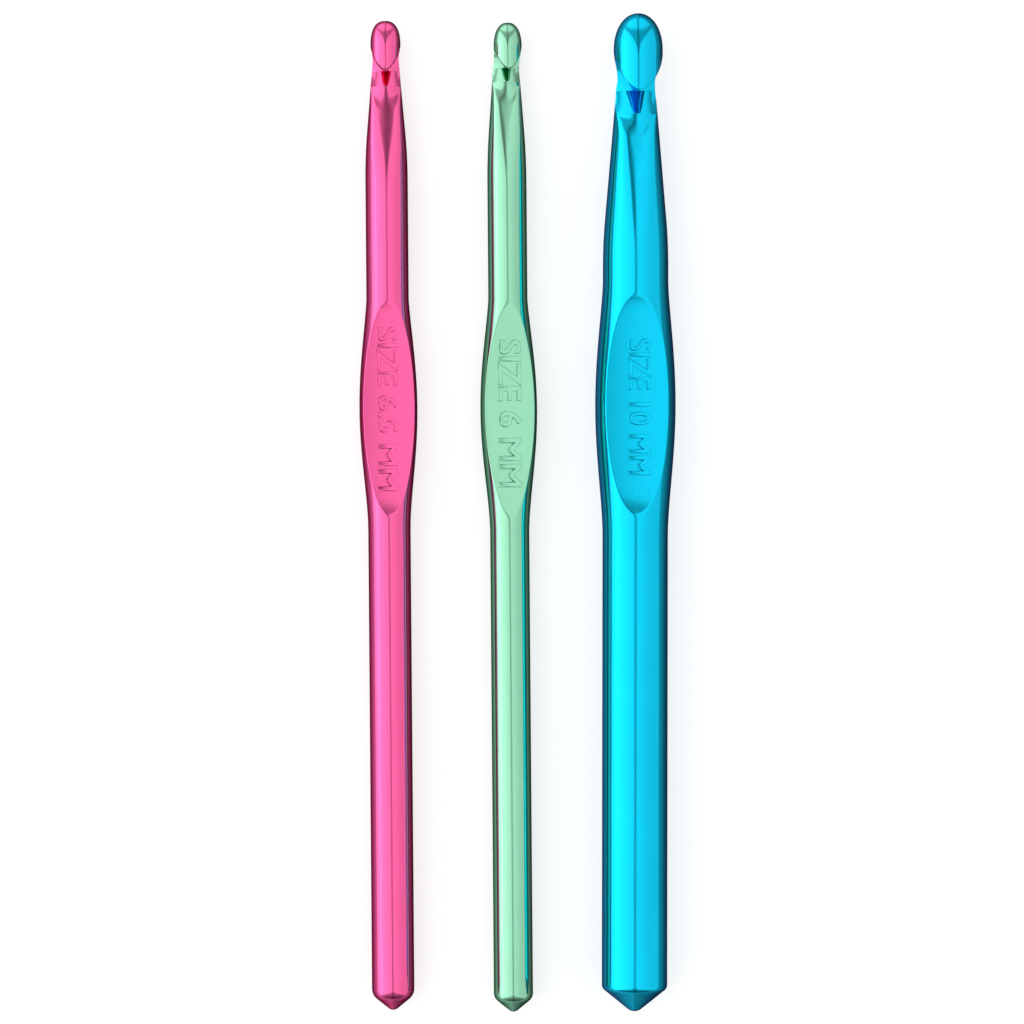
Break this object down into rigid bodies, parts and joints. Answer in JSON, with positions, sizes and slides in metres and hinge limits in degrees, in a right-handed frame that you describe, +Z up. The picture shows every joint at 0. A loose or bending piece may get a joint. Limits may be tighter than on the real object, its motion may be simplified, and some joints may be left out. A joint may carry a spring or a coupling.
{
  "type": "crochet hook set",
  "caption": "Set of one-piece dyed aluminium crochet hooks with tapered throats, pressed flat thumb rests and pointed butts.",
  "frame": {"origin": "on the table, under the middle of the bounding box of the three hooks as they lie side by side", "axes": "+Y towards the heads along the shafts, +Z up out of the lips and the front thumb rests, +X from the pink hook to the blue hook"},
  "size_m": [0.0484, 0.1528, 0.01],
  "materials": {
    "pink_anodised": "drawn, tumbled and bright anodised aluminium, dyed pink",
    "green_anodised": "drawn, tumbled and bright anodised aluminium, dyed pale green",
    "blue_anodised": "drawn, tumbled and bright anodised aluminium, dyed bright blue"
  },
  "bodies": {
    "pink_hook": {"pink_hook_6_5mm": "pink_anodised"},
    "green_hook": {"green_hook_6mm": "green_anodised"},
    "blue_hook": {"blue_hook_10mm": "blue_anodised"}
  },
  "joints": [
    {"name": "pink_lift", "type": "slide", "parent": "blue_hook", "child": "pink_hook", "axis": [0, 0, 1], "range_m": [0, 0.06]},
    {"name": "green_lift", "type": "slide", "parent": "blue_hook", "child": "green_hook", "axis": [0, 0, 1], "range_m": [0, 0.06]}
  ]
}
